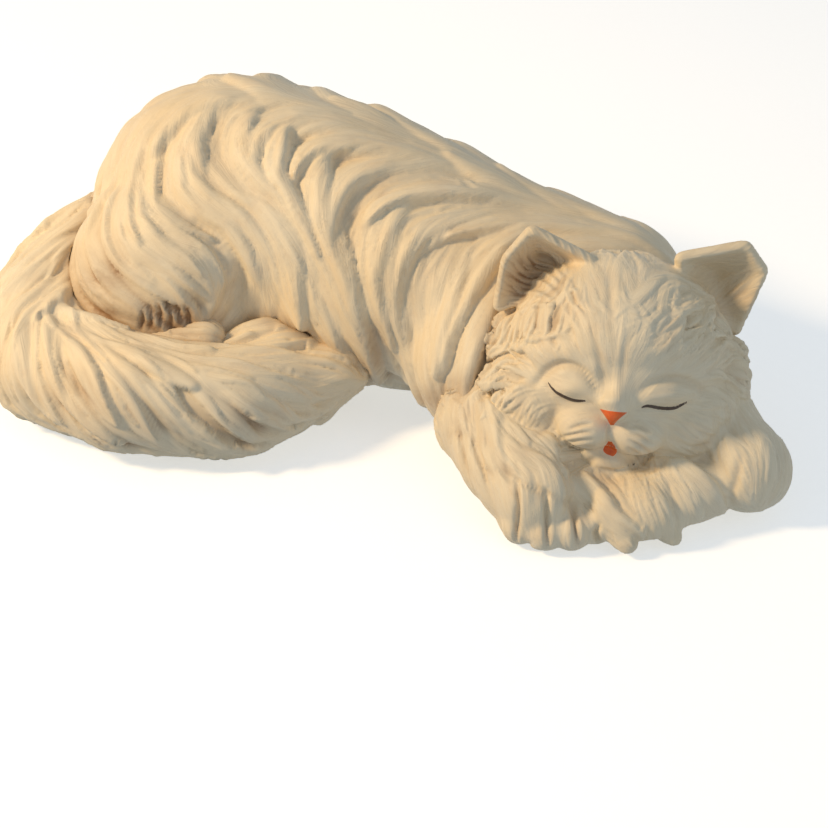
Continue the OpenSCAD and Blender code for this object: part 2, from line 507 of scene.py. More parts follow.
class Comb:
    """The run of a coat between strokes of a comb.

    A stroke is where it lies, as SIGHT reads it, and its way in degrees clockwise from right. Behind the
    spine the run is mirrored, and where the skin turns from its owner it can follow a core instead.
    """
    spread = 12
    spine_fade = 18 * MM

    def __init__(self, strokes, spine=None, core=None):
        strokes = np.array(strokes, float)
        self.at = strokes[:, :2]
        angle = np.radians(strokes[:, 2])
        self.way = np.stack((np.cos(angle), -np.sin(angle)), 1)
        self.spine = spine
        self.core = core

    def __call__(self, points, out):
        run = self.between_strokes(points)
        if self.core is not None:
            near = ease(-0.15, 0.3, out @ SIGHT.back)[:, None]
            step = ((points[:, None] - self.core[None]) ** 2).sum(2).argmin(1)
            run = near * unit(run) + (1 - near) * unit(np.gradient(self.core, axis=0))[step]
        return run

    def between_strokes(self, points):
        up = np.tile(SIGHT.up, (len(points), 1))
        if self.spine is not None:
            start, end = self.spine
            along = (points[:, 0] - start[0]) / (end[0] - start[0])
            middle = start[1] + along * (end[1] - start[1])
            behind = points[:, 1] - middle
            points = points.copy()
            points[:, 1] = middle - np.abs(behind)
            up[:, 1] *= np.clip(-behind / self.spine_fade, -1, 1)
        seen = SIGHT.read(points)
        gaps = ((seen[:, None] - self.at[None]) ** 2).sum(2)
        share = 1 / (gaps + self.spread) ** 2
        way = (share @ self.way) / share.sum(1, keepdims=True)
        return way[:, :1] * RIGHT + way[:, 1:] * up


class Coat:
    """How a skin's fur lies: its run and the size of its locks, in metres."""

    def __init__(
        self, flow, width, length, relief, count, seed, wave=0.12, lift=0.5, mask=1.0, furrow_shade=1.0, lean=0.85,
    ):
        self.flow = flow
        self.width = width
        self.length = length
        self.relief = relief
        self.count = count
        self.random = np.random.default_rng(seed)
        self.wave = wave
        self.lift = lift
        self.mask = mask
        # How strongly the furrows between this coat's locks are given painted shade.
        self.furrow_shade = furrow_shade
        self.lean = lean


def settle(tree, places):
    """The nearest points of a skin, and its outward directions there."""
    landed, out = np.empty_like(places), np.empty_like(places)
    for i, p in enumerate(places):
        found = tree.find_nearest(Vector(p))
        landed[i], out[i] = found[0], found[1]
    return landed, out


def along_skin(flow, places, out):
    """The run of the fur, laid flat on the skin."""
    run = flow(places, out)
    return unit(run - out * (run * out).sum(-1, keepdims=True))


def scatter(clay, coat, weight):
    """Picks the middles of the locks, spaced by their width across and their length along."""
    order = coat.random.permutation(np.flatnonzero(weight > 0.15))[: 40 * coat.count]
    runs = along_skin(coat.flow, clay.points[order], clay.out[order])
    taken, ways = np.empty((coat.count, 3)), np.empty((coat.count, 3))
    n = 0
    for i, run in zip(order, runs):
        if n == coat.count:
            break
        gap = clay.points[i] - taken[:n]
        forward = (gap * ways[:n]).sum(1)
        across = np.linalg.norm(gap - forward[:, None] * ways[:n], axis=1)
        near = (across / (0.7 * coat.width)) ** 2 + (forward / (0.4 * coat.length)) ** 2
        if n and near.min() < 1:
            continue
        taken[n], ways[n] = clay.points[i], run
        n += 1
    return taken[:n]


def draw_lines(clay, coat, middles):
    """Runs a lock's line through each middle, both ways along the flow, kept on the skin."""
    tree = BVHTree.FromPolygons(clay.points.tolist(), [tuple(p.vertices) for p in clay.mesh.polygons])
    count = len(middles)
    half = STEPS // 2
    lines = np.empty((count, 2 * half + 1, 3))
    outs = np.empty_like(lines)
    lengths = coat.length * coat.random.uniform(0.7, 1.3, count)
    bends = coat.random.uniform(0, 2 * math.pi, count)
    for way in (-1, 1):
        place, before = middles.copy(), None
        for k in range(half + 1):
            landed, out = settle(tree, place)
            lines[:, half + way * k], outs[:, half + way * k] = landed, out
            run = along_skin(coat.flow, landed, out)
            if before is not None:
                turned_back = (run * before).sum(-1, keepdims=True) < 0.2
                run = unit(before + np.where(turned_back, before, run))
                run = unit(run - out * (run * out).sum(-1, keepdims=True))
            before = run
            sway = coat.wave * np.cos(bends + way * k * math.pi / half)
            run = unit(run + sway[:, None] * np.cross(out, run))
            place = landed + way * (lengths / (2 * half))[:, None] * run
    return lines, outs


def lock_outline(t):
    """A lock's width and height along it: it rises from a narrow root and ends in a proud, pointed tip."""
    width = ease(-0.08, 0.35, t) * np.clip(1 - t ** 3.2, 0, 1) ** 0.75
    height = (0.2 + 0.8 * ease(0.0, 0.6, t)) * ease(0.0, 0.1, 1 - t)
    return width, height


def lock_section(s):
    """A lock's height across it: a gentle slope up to its crest, then a steep fall."""
    slope = np.clip((1 + s) / (1 + CREST), 0, 1) ** 0.8
    fall = np.sqrt(np.clip(1 - ((s - CREST) / (1 - CREST)) ** 2, 0, 1))
    return np.where(s < CREST, slope, fall)


def carve(clay, coat):
    """Raises locks over the skin, each lying over its neighbours like a shingle, and marks the strands."""
    weight = np.broadcast_to(coat.mask, len(clay.points)) * ease(-0.85, -0.55, clay.out[:, 2])
    lines, outs = draw_lines(clay, coat, scatter(clay, coat, weight))
    height = np.zeros(len(clay.points))
    for line, out in zip(lines, outs):
        run = unit(np.gradient(line, axis=0))
        side = unit(np.cross(out, run))
        half_width = 0.5 * coat.width * coat.random.uniform(0.75, 1.35)
        layer = coat.random.uniform(0.7, 1.15)
        lean = 1 if coat.random.uniform() < coat.lean else -1
        tint = coat.random.uniform(0, 1)
        reach = 1.1 * half_width
        inside_box = (clay.points > line.min(0) - reach) & (clay.points < line.max(0) + reach)
        near = np.flatnonzero(inside_box.all(1))
        if not len(near):
            continue
        gaps = clay.points[near][:, None] - line[None]
        step = (gaps ** 2).sum(2).argmin(1)
        gap = gaps[np.arange(len(near)), step]
        forward = (gap * run[step]).sum(1)
        across = (gap * side[step]).sum(1)
        off_skin = np.abs((gap * out[step]).sum(1))
        pace = np.linalg.norm(line[1] - line[0]) + 1e-9
        t = (step + forward / pace) / (len(line) - 1)
        wide, high = lock_outline(np.clip(t, 0, 1))
        s = across / (half_width * wide + 1e-9)
        inside = (np.abs(s) < 1) & (off_skin < 1.2 * half_width) & (t > 0) & (t < 1)
        inside &= (clay.out[near] * out[step]).sum(1) > 0.1
        if not inside.any():
            continue
        near, s, step, t = near[inside], s[inside], step[inside], t[inside]
        raised = layer * high[inside] * lock_section(lean * s)
        over = raised > height[near]
        hit = near[over]
        height[hit] = raised[over]
        clay.strand[hit, 0] = across[inside][over] + 0.37 * tint
        clay.strand[hit, 1] = t[over] * pace * (len(line) - 1) + 0.53 * tint
        clay.run[hit], clay.side[hit] = run[step[over]], side[step[over]]
        clay.tint[hit] = tint
    # The furrows between the locks are marked for tan painted shade.
    furrow = 1 - np.clip(height / 0.5, 0, 1)
    clay.furrow = np.maximum(clay.furrow, coat.furrow_shade * furrow * weight)
    clay.push(weight * coat.relief * (height - coat.lift))


# ---------------------------------------------------------------- the run of the fur

BODY_COMB = (
    (-116.6, 166.7, 140), (-75.3, 169.9, 150), (-29.4, 160.7, 160), (16.5, 136.8, 160), (62.4, 120.8, 160),
    (103.8, 100.1, 165), (-52.3, 160.7, 155), (-60.1, 154.3, 125), (-31.7, 143.7, 150), (-10.1, 134.1, 160),
    (7.3, 119.4, 155), (30.3, 111.6, 155), (-63.8, 141.4, 95), (-38.6, 131.3, 112), (-29.4, 116.2, 125),
    (-43.2, 118.5, 92), (-31.7, 100.1, 90), (-11.9, 100.1, 108), (-11, 81.7, 90), (0.5, 77.1, 88),
    (11.9, 91.8, 118), (7.3, 58.8, 85), (21.1, 72.5, 105), (16.5, 40.4, 100), (30.3, 81.7, 112),
    (30.3, 49.6, 102), (21.1, 26.6, 95), (16.5, 15.2, 80), (-52.3, 104.7, 62), (-40.9, 90.9, 60),
    (-24.8, 68, 72), (-34, 72.5, 80), (-6.4, 54.2, 82), (-20.2, 40.4, 95), (2.8, 35.8, 85),
    (-86.8, 150.6, 92), (-79.9, 137.7, 58), (-69.8, 126.7, 38), (-99.2, 150.6, 102), (-102.8, 136.8, 75),
    (-95, 124.4, 42), (-79.9, 116.2, 28), (-61.5, 108.4, 50), (-52.3, 123, 75), (-112, 150.6, 100),
    (-114.3, 132.2, 80), (-105.1, 117.5, 42), (-90, 110.2, 38), (-75.3, 102.4, 55), (-69.8, 88.6, 85),
    (-65.2, 76.2, 95), (-52.3, 77.1, 85), (-130.4, 136.8, 90), (-127.2, 120.8, 72), (-120.3, 108.4, 38),
    (-102.8, 103.8, 18), (-90, 95.5, 50), (-82.2, 81.7, 90), (-84.5, 71.2, 118), (-92.7, 63.4, 150),
    (-144.2, 127.6, 92), (-141.9, 111.6, 70), (-135, 97.8, 48), (-120.3, 88.2, 32), (-105.1, 79.4, 45),
    (-102.8, 68, 62), (-155.6, 109.3, 82), (-151.1, 95.5, 52), (-138.7, 83.6, 33), (-125.8, 71.6, 35),
    (-114.3, 64.3, 52), (-167.1, 90, 60), (-161.6, 77.1, 28), (-148.8, 71.6, 14), (-135, 63.4, 18),
)
TAIL_COMB = (
    (-144.2, 118.5, 125), (-162.5, 102.4, 130), (-177.2, 77.1, 118), (-186.4, 58.8, 98), (-180.9, 40.4, 78),
    (-171.7, 51.9, 72), (-167.1, 26.6, 58), (-148.8, 49.6, 52), (-139.6, 26.6, 58), (-153.4, 8.3, 45),
    (-125.8, 48.7, 38), (-121.2, 26.6, 55), (-125.8, 8.3, 52), (-107.4, 39.5, 42), (-98.3, 28.9, 48),
    (-98.3, 15.2, 52), (-102.8, 1.4, 38), (-75.3, 28.9, 45), (-79.9, 12.9, 45), (-61.5, 18.4, 32),
    (-52.3, 26.6, 18), (-38.6, 24.3, -22), (-52.3, 12.9, -12), (-70.7, 6, 10), (-93.7, 49.6, -22),
    (-79.9, 54.2, -18), (-70.7, 48.7, -24), (-84.5, 41.3, 10), (-61.5, 45.9, -20), (-52.3, 51.4, -24),
    (-43.2, 53.3, 0), (-31.7, 51, 22), (-36.3, 42.7, 5), (-26.2, 44.1, 55), (-52.3, 41.3, -8),
    (-56.9, 34.9, 5), (-36.3, 32.1, -5), (-27.1, 34.9, 0),
)
HEAD_COMB = (
    (90.9, 33.5, -90), (90.9, 49.6, -90), (80.8, 49.6, -110), (103.8, 51.9, -68), (73.9, 72.5, -115),
    (90.9, 77.1, -92), (115.2, 72.5, -62), (85.4, 95.5, -95), (108.4, 95.5, -82), (60.1, 49.6, -138),
    (48.7, 44.1, -150), (76.2, 44.1, -125), (112.9, 49.6, -52), (126.7, 51.9, -38), (138.2, 49.6, -25),
    (57.9, 64.3, 78), (73.9, 70.2, 68), (44.1, 61.1, 95), (80.8, 79.4, 72), (66.1, 79.4, 75),
    (131.3, 67, 140), (117.5, 58.8, 132), (147.4, 56.5, 30), (110.7, 72.5, 120), (152, 47.3, 5),
    (37.2, 45, 160), (34.9, 33.5, 165), (41.8, 24.3, 140), (53.3, 17.4, 115), (64.7, 8.3, 150),
    (67, 26.6, 175), (131.3, 26.6, 5), (145.1, 35.8, 10), (152, 26.6, 30), (131.3, 10.6, 35),
    (117.5, 1.4, 45), (76.2, 8.3, 170), (106.1, 8.3, 20), (90.9, -4.6, 90), (76.2, -1.8, 120),
    (103.8, -4.6, 70), (53.3, 96.4, -125), (45, 79.4, -150), (44.1, 70.2, 175), (57.9, 87.2, -165),
    (60.1, 77.1, -170), (69.3, 91.8, -100), (135.9, 90, -15), (152, 93.2, -40), (152, 72.5, -25),
    (142.8, 77.1, -40), (156.6, 63.4, 20), (122.1, 88.6, -10),
)
FRONT_COMB = (
    (16.5, 19.7, 78), (30.3, 12.9, 66), (24.8, -3.2, 68), (39.5, -7.8, 52), (34.9, -23.9, 62),
    (39.5, 15.2, 62), (53.3, 1.4, 42), (51, -19.3, 85), (67, -26.2, 88), (39.5, -33.1, 90),
    (80.8, -17, 48), (94.6, -30.8, 30), (85.4, -5.5, 62), (103.8, -12.4, 78), (115.2, -21.6, 66),
    (108.4, -35.4, 82), (126.7, -5.5, 45), (129, -19.3, 62), (141.4, -14.7, 40), (149.7, -0.9, 62),
    (161.2, -10.1, 95), (169, 3.7, 105), (140.5, 12.9, 70), (67, -5.5, 75), (71.6, -33.1, 88),
)

SPINE = (within("trunk_shell", 0.24, 0.68, 0.40), within("trunk_shell", 0.79, 0.39, 0.32))
TAIL_RUN = [
    within("tail_shell", *place) for place in (
        (0.44, 0.83, 0.65), (0.26, 0.75, 0.52), (0.15, 0.55, 0.41), (0.19, 0.33, 0.37),
        (0.40, 0.18, 0.36), (0.68, 0.15, 0.32), (0.84, 0.26, 0.29), (0.93, 0.39, 0.29),
    )
]
MADE = {}


# ---------------------------------------------------------------- finishes

class Value:
    """A shader socket on which Python arithmetic adds Math nodes."""

    def __init__(self, finish, socket):
        self.finish = finish
        self.socket = socket

    def _math(self, operation, *terms):
        return self.finish.node("ShaderNodeMath", {"operation": operation}, dict(enumerate(terms)))

    def __add__(self, other):
        return self._math("ADD", self, other)

    def __sub__(self, other):
        return self._math("SUBTRACT", self, other)

    def __mul__(self, other):
        return self._math("MULTIPLY", self, other)

    def clamped(self):
        return self.finish.node("ShaderNodeClamp", {}, {"Value": self})

    __radd__ = __add__


class Finish:
    """A material being mixed: its node tree and its Principled shader."""

    def __init__(self, name):
        self.material = bpy.data.materials.new(name)
        self.material.use_nodes = True
        self.tree = self.material.node_tree
        self.shader = self.tree.nodes["Principled BSDF"]

    def node(self, kind, settings, sockets, output=0):
        made = self.tree.nodes.new(kind)
        for name, value in settings.items():
            setattr(made, name, value)
        for name, value in sockets.items():
            self.feed(made.inputs[name], value)
        return Value(self, made.outputs[output])

    def feed(self, target, value):
        if isinstance(value, Value):
            self.tree.links.new(value.socket, target)
        else:
            target.default_value = value

    def mark(self, name):
        return self.node("ShaderNodeAttribute", {"attribute_name": name}, {}, "Fac")

    def noise(self, vector, scale, detail, roughness=0.5):
        return self.node("ShaderNodeTexNoise", {}, {
            "Vector": vector, "Scale": scale, "Detail": detail, "Roughness": roughness,
        }, "Fac")

    def blend(self, share, first, second):
        return self.node("ShaderNodeMix", {"data_type": "RGBA"}, {0: share, 6: first, 7: second}, 2)

    def place(self):
        return self.node("ShaderNodeTexCoord", {}, {}, "Object")

    def stretched(self, vector, across, along):
        scale = (across, along, 0)
        return self.node("ShaderNodeVectorMath", {"operation": "MULTIPLY"}, {0: vector, 1: scale})

    def bump(self, height, distance, strength=1.0):
        return self.node("ShaderNodeBump", {}, {
            "Height": height, "Distance": distance, "Strength": strength,
        })

    def set(self, **sockets):
        for name, value in sockets.items():
            self.feed(self.shader.inputs[name.replace("_", " ")], value)
        return self.material


CREAM = (0.84, 0.68, 0.45, 1)
IVORY = (0.86, 0.76, 0.58, 1)
# TAN is the colour of the painted shade in the furrows and creases, and of the fine strand lines.
TAN = (0.30, 0.17, 0.085, 1)
BLUSH = (0.76, 0.55, 0.36, 1)
ORANGE, RUST = (0.86, 0.17, 0.02, 1), (0.66, 0.08, 0.012, 1)
SOOT, UMBER = (0.03, 0.018, 0.014, 1), (0.06, 0.035, 0.025, 1)
FELT_DARK, FELT_LIGHT, FELT_FLECK = (0.11, 0.085, 0.06, 1), (0.21, 0.17, 0.13, 1), (0.3, 0.25, 0.2, 1)


def bisque():
    """Unglazed cream clay with fine strands, and tan painted shade laid in the furrows and creases."""
    finish = Finish("cream_bisque")
    place = finish.place()
    strands = finish.node("ShaderNodeUVMap", {"uv_map": "strands"}, {})
    hair = finish.noise(finish.stretched(strands, 1100, 60), 1.0, 2.0, 0.6)
    coarse_hair = finish.noise(finish.stretched(strands, 380, 26), 1.0, 1.0)
    grain = finish.noise(place, 1400.0, 2.0)
    drift = finish.noise(place, 18.0, 3.0)
    patch = finish.noise(place, 90.0, 4.0, 0.6)
    # Tan painted shade from the furrow and crease marks, broken up by the patch noise.
    crease_shade = (finish.mark("crease_shade") * (0.45 + patch * 0.9)).clamped()
    lines = ((hair - 0.52) * 4.0).clamped()
    body = finish.blend((drift * 1.6 - 0.3 + finish.mark("tint") * 0.3 - 0.1).clamped(), CREAM, IVORY)
    body = finish.blend(((patch - 0.5) * 2.2).clamped() * 0.4, body, BLUSH)
    body = finish.blend(lines * 0.12, body, TAN)
    colour = finish.blend(crease_shade, body, TAN)
    height = hair * 0.6 + coarse_hair * 0.5 + grain * 0.12
    return finish.set(
        Base_Color=colour, Roughness=0.5 + grain * 0.14 - lines * 0.05,
        Normal=finish.bump(height, 0.0006, 0.7), IOR=1.5,
    )


def brushed_colour(name, base, deep, roughness):
    """Ceramic colour laid on with a brush."""
    finish = Finish(name)
    place = finish.place()
    streak = finish.noise(place, 700.0, 3.0)
    body = finish.blend((streak * 1.4 - 0.3).clamped(), base, deep)
    return finish.set(
        Base_Color=body, Roughness=roughness + streak * 0.1,
        Normal=finish.bump(finish.noise(place, 1600.0, 2.0), 0.0002, 0.5),
    )


def pressed_felt():
    """Brown wool felt with pale flecks."""
    finish = Finish("pressed_felt")
    place = finish.place()
    fibre = finish.noise(place, 2600.0, 6.0, 0.7)
    fleck = finish.noise(place, 400.0, 2.0)
    body = finish.blend((fibre * 1.5 - 0.3).clamped(), FELT_DARK, FELT_LIGHT)
    body = finish.blend((fleck * 2.0 - 0.8).clamped() * 0.4, body, FELT_FLECK)
    return finish.set(Base_Color=body, Roughness=0.95, Normal=finish.bump(fibre, 0.0006, 1.0))


FINISHES = {}


def finish_for(slot):
    """One material for each slot, mixed the first time that it is wanted."""
    if slot not in FINISHES:
        FINISHES[slot] = {
            "bisque": bisque,
            "nose_red": lambda: brushed_colour("nose_red", ORANGE, RUST, 0.38),
            "lash_black": lambda: brushed_colour("lash_black", SOOT, UMBER, 0.4),
            "felt": pressed_felt,
        }[slot]()
    return FINISHES[slot]


def hand_over(piece, node, slot):
    """Gives a finished piece its material and its place in the frame."""
    piece.data.materials.clear()
    piece.data.materials.append(finish_for(slot))
    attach(piece, "root")
    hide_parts(node)


class FigureSizes(bpy.types.PropertyGroup):
    """The sizes of the carving."""
    body_grain: bpy.props.FloatProperty(
        name="Trunk mesh", description="Size of the faces on the trunk", default=1.16 * MM, unit="LENGTH"
    )
    tail_grain: bpy.props.FloatProperty(
        name="Tail mesh", description="Size of the faces on the tail", default=0.92 * MM, unit="LENGTH"
    )
    fine_grain: bpy.props.FloatProperty(
        name="Head mesh", description="Size of the faces on the head", default=0.62 * MM, unit="LENGTH"
    )
    flank_lock: bpy.props.FloatProperty(
        name="Flank lock width", description="Width of the long locks on the flank", default=21 * MM,
        unit="LENGTH",
    )
    flank_relief: bpy.props.FloatProperty(
        name="Flank relief", description="Height of the flank's locks", default=6.4 * MM, unit="LENGTH"
    )
    tail_lock: bpy.props.FloatProperty(
        name="Tail lock width", description="Width of the locks round the tail", default=13 * MM,
        unit="LENGTH",
    )
    ruff_lock: bpy.props.FloatProperty(
        name="Ruff lock width", description="Width of the pointed locks under the chin", default=20 * MM,
        unit="LENGTH",
    )


class StageSizes(bpy.types.PropertyGroup):
    """The camera and the lights."""
    lens: bpy.props.FloatProperty(name="Lens", description="Focal length in mm", default=94.7)
    warm: bpy.props.FloatVectorProperty(
        name="Window light", description="Colour of the key light", subtype="COLOR", default=(1, 0.73, 0.42)
    )
    cool: bpy.props.FloatVectorProperty(
        name="Room light", description="Colour of the fill light", subtype="COLOR", default=(0.78, 0.88, 1)
    )


# ---------------------------------------------------------------- operators

class CARVE_OT_body(bpy.types.Operator):
    """Carve the rump, flank, shoulder and hind legs with long crescent locks"""
    bl_idname = "figurine.carve_body"
    bl_label = "Trunk and hind legs"

    def execute(self, context):
        sizes = context.scene.figure_sizes
        clay = Clay(BODY, sizes.body_grain, 32)
        flow = Comb(BODY_COMB, SPINE)
        haunch = ease(0.25, 0.75, clay.spots((
            (-121.2, 102.4, 39, 34.4), (-139.6, 81.7, 32.1, 23), (-100.6, 86.3, 20.7, 25.3),
        )) * 1.6)
        steep = np.maximum(ease(0.1, -0.45, clay.out[:, 1]), ease(0.5, 0.85, clay.out[:, 1]))
        coat = 0.14 + 0.86 * steep
        belly = clay.spots(((-66.1, 88.6, 19.3, 27.5),))
        knee = clay.spots(((-79.9, 77.1, 11.9, 18.4),))
        flank = coat * (1 - 0.92 * haunch) * (1 - 0.7 * belly) * (1 - 0.8 * knee)
        for mound in (
            (-100.6, 87.2, 11.9, 13.8, 3.0), (-125.8, 107, 18.4, 13.8, 1.5),
            (-69.8, 72.5, 11.9, 16.5, -3.0),
        ):
            clay.dab(*mound)
        clay.groove((
            (-99.2, 108.4), (-88.2, 101), (-80.8, 90), (-79.9, 78.1), (-84.5, 68), (-91.8, 60.6),
        ), 2.75, 3.0, 0.3)
        carve(clay, Coat(
            flow, sizes.flank_lock, 104 * MM, sizes.flank_relief, 240, 3, wave=0.06, mask=flank, lean=0.97,
        ))
        carve(clay, Coat(flow, 24 * MM, 60 * MM, 2.6 * MM, 60, 4, wave=0.1, mask=1 - coat, furrow_shade=0))
        carve(clay, Coat(flow, 10 * MM, 68 * MM, 3.4 * MM, 200, 5, wave=0.08, mask=haunch, lean=0.6))
        clay.relax(1)
        carve(clay, Coat(
            flow, 7 * MM, 70 * MM, 1.0 * MM, 600, 8, wave=0.06, mask=flank, furrow_shade=0.4, lean=0.9,
        ))
        fine = coat * (1 - 0.6 * knee)
        carve(clay, Coat(flow, 3.6 * MM, 36 * MM, 0.5 * MM, 1200, 6, mask=fine, furrow_shade=0.2))
        # Places where the painted shade is laid deeper: the notches between the toes and a few other hollows.
        notches = clay.spots((
            (-114.3, 65.7, 15.6, 7.35), (-109.7, 62.4, 9.18, 5.51), (-135, 64.3, 18.4, 6.43),
            (-146.5, 81.7, 16.1, 12.9), (-17.4, 48.7, 7.35, 15.6), (2.8, 27.5, 9.18, 5.51),
            (18.8, 12.9, 9.18, 7.35),
        ))
        for notch in (
            ((-121.7, 69.8), (-120.8, 65.2), (-121.2, 59.7)), ((-118, 70.7), (-116.6, 65.2), (-116.6, 59.7)),
            ((-113.9, 71.2), (-112, 66.1), (-112, 60.6)), ((-109.7, 70.2), (-107.9, 66.1), (-107.4, 61.5)),
            ((-105.6, 69.8), (-103.8, 66.1), (-103.3, 62.4)), ((-125.3, 68), (-124.9, 63.4), (-125.8, 58.8)),
        ):
            clay.groove(notch, 1.01, 1.6, 1.0)
        # Tan painted shade: in the furrows, deeper at these places, and in the creases where the trunk and
        # legs meet other pieces.
        clay.crease_shade = clay.furrow * (0.22 + 0.9 * notches) + 0.35 * notches + 0.3 * clay.nook
        clay.deliver(("trunk_fur", "right_thigh_fur", "left_thigh_fur"))

        clay = Clay(PAW, sizes.fine_grain * 0.8, 20)
        along = Comb(((-102.8, 56.5, 10), (-91.4, 54.2, 10)))
        carve(clay, Coat(along, 4 * MM, 18 * MM, 0.7 * MM, 60, 7))
        # Tan painted shade in the toes' furrows and where they meet other pieces, over a little tan on the
        # whole paw.
        clay.crease_shade = 0.2 * clay.furrow + 0.3 * clay.nook + 0.1
        clay.deliver(("right_hind_toes",))
        return {"FINISHED"}


class CARVE_OT_tail(bpy.types.Operator):
    """Carve the tail with locks that fall away from a parting to its tip"""
    bl_idname = "figurine.carve_tail"
    bl_label = "Tail"

    def execute(self, context):
        sizes = context.scene.figure_sizes
        clay = Clay(TAIL, sizes.tail_grain, 60)
        flow = Comb(TAIL_COMB, core=fine_run(TAIL_RUN, 60))
        tip = clay.spots(((-43.2, 41.3, 17.4, 11.9),))
        carve(clay, Coat(
            flow, sizes.tail_lock, 78 * MM, 4.4 * MM, 300, 11, wave=0.14, mask=1 - 0.8 * tip, lean=0.7,
        ))
        clay.relax(1)
        carve(clay, Coat(flow, 5.5 * MM, 48 * MM, 1.4 * MM, 900, 12, furrow_shade=0.4, lean=0.7))
        # Tan painted shade in the tail's furrows, deeper at these listed places low on the tail, and in the
        # creases where it meets other pieces.
        furrow_shade = clay.spots((
            (-148.8, 26.6, 20.7, 20.7), (-130.4, 12.9, 18.4, 11.5), (-75.3, 15.2, 13.8, 8.26),
        ))
        clay.crease_shade = clay.furrow * (0.2 + 0.6 * furrow_shade) + 0.12 * furrow_shade + 0.35 * clay.nook
        clay.deliver(("tail_fur",))
        return {"FINISHED"}


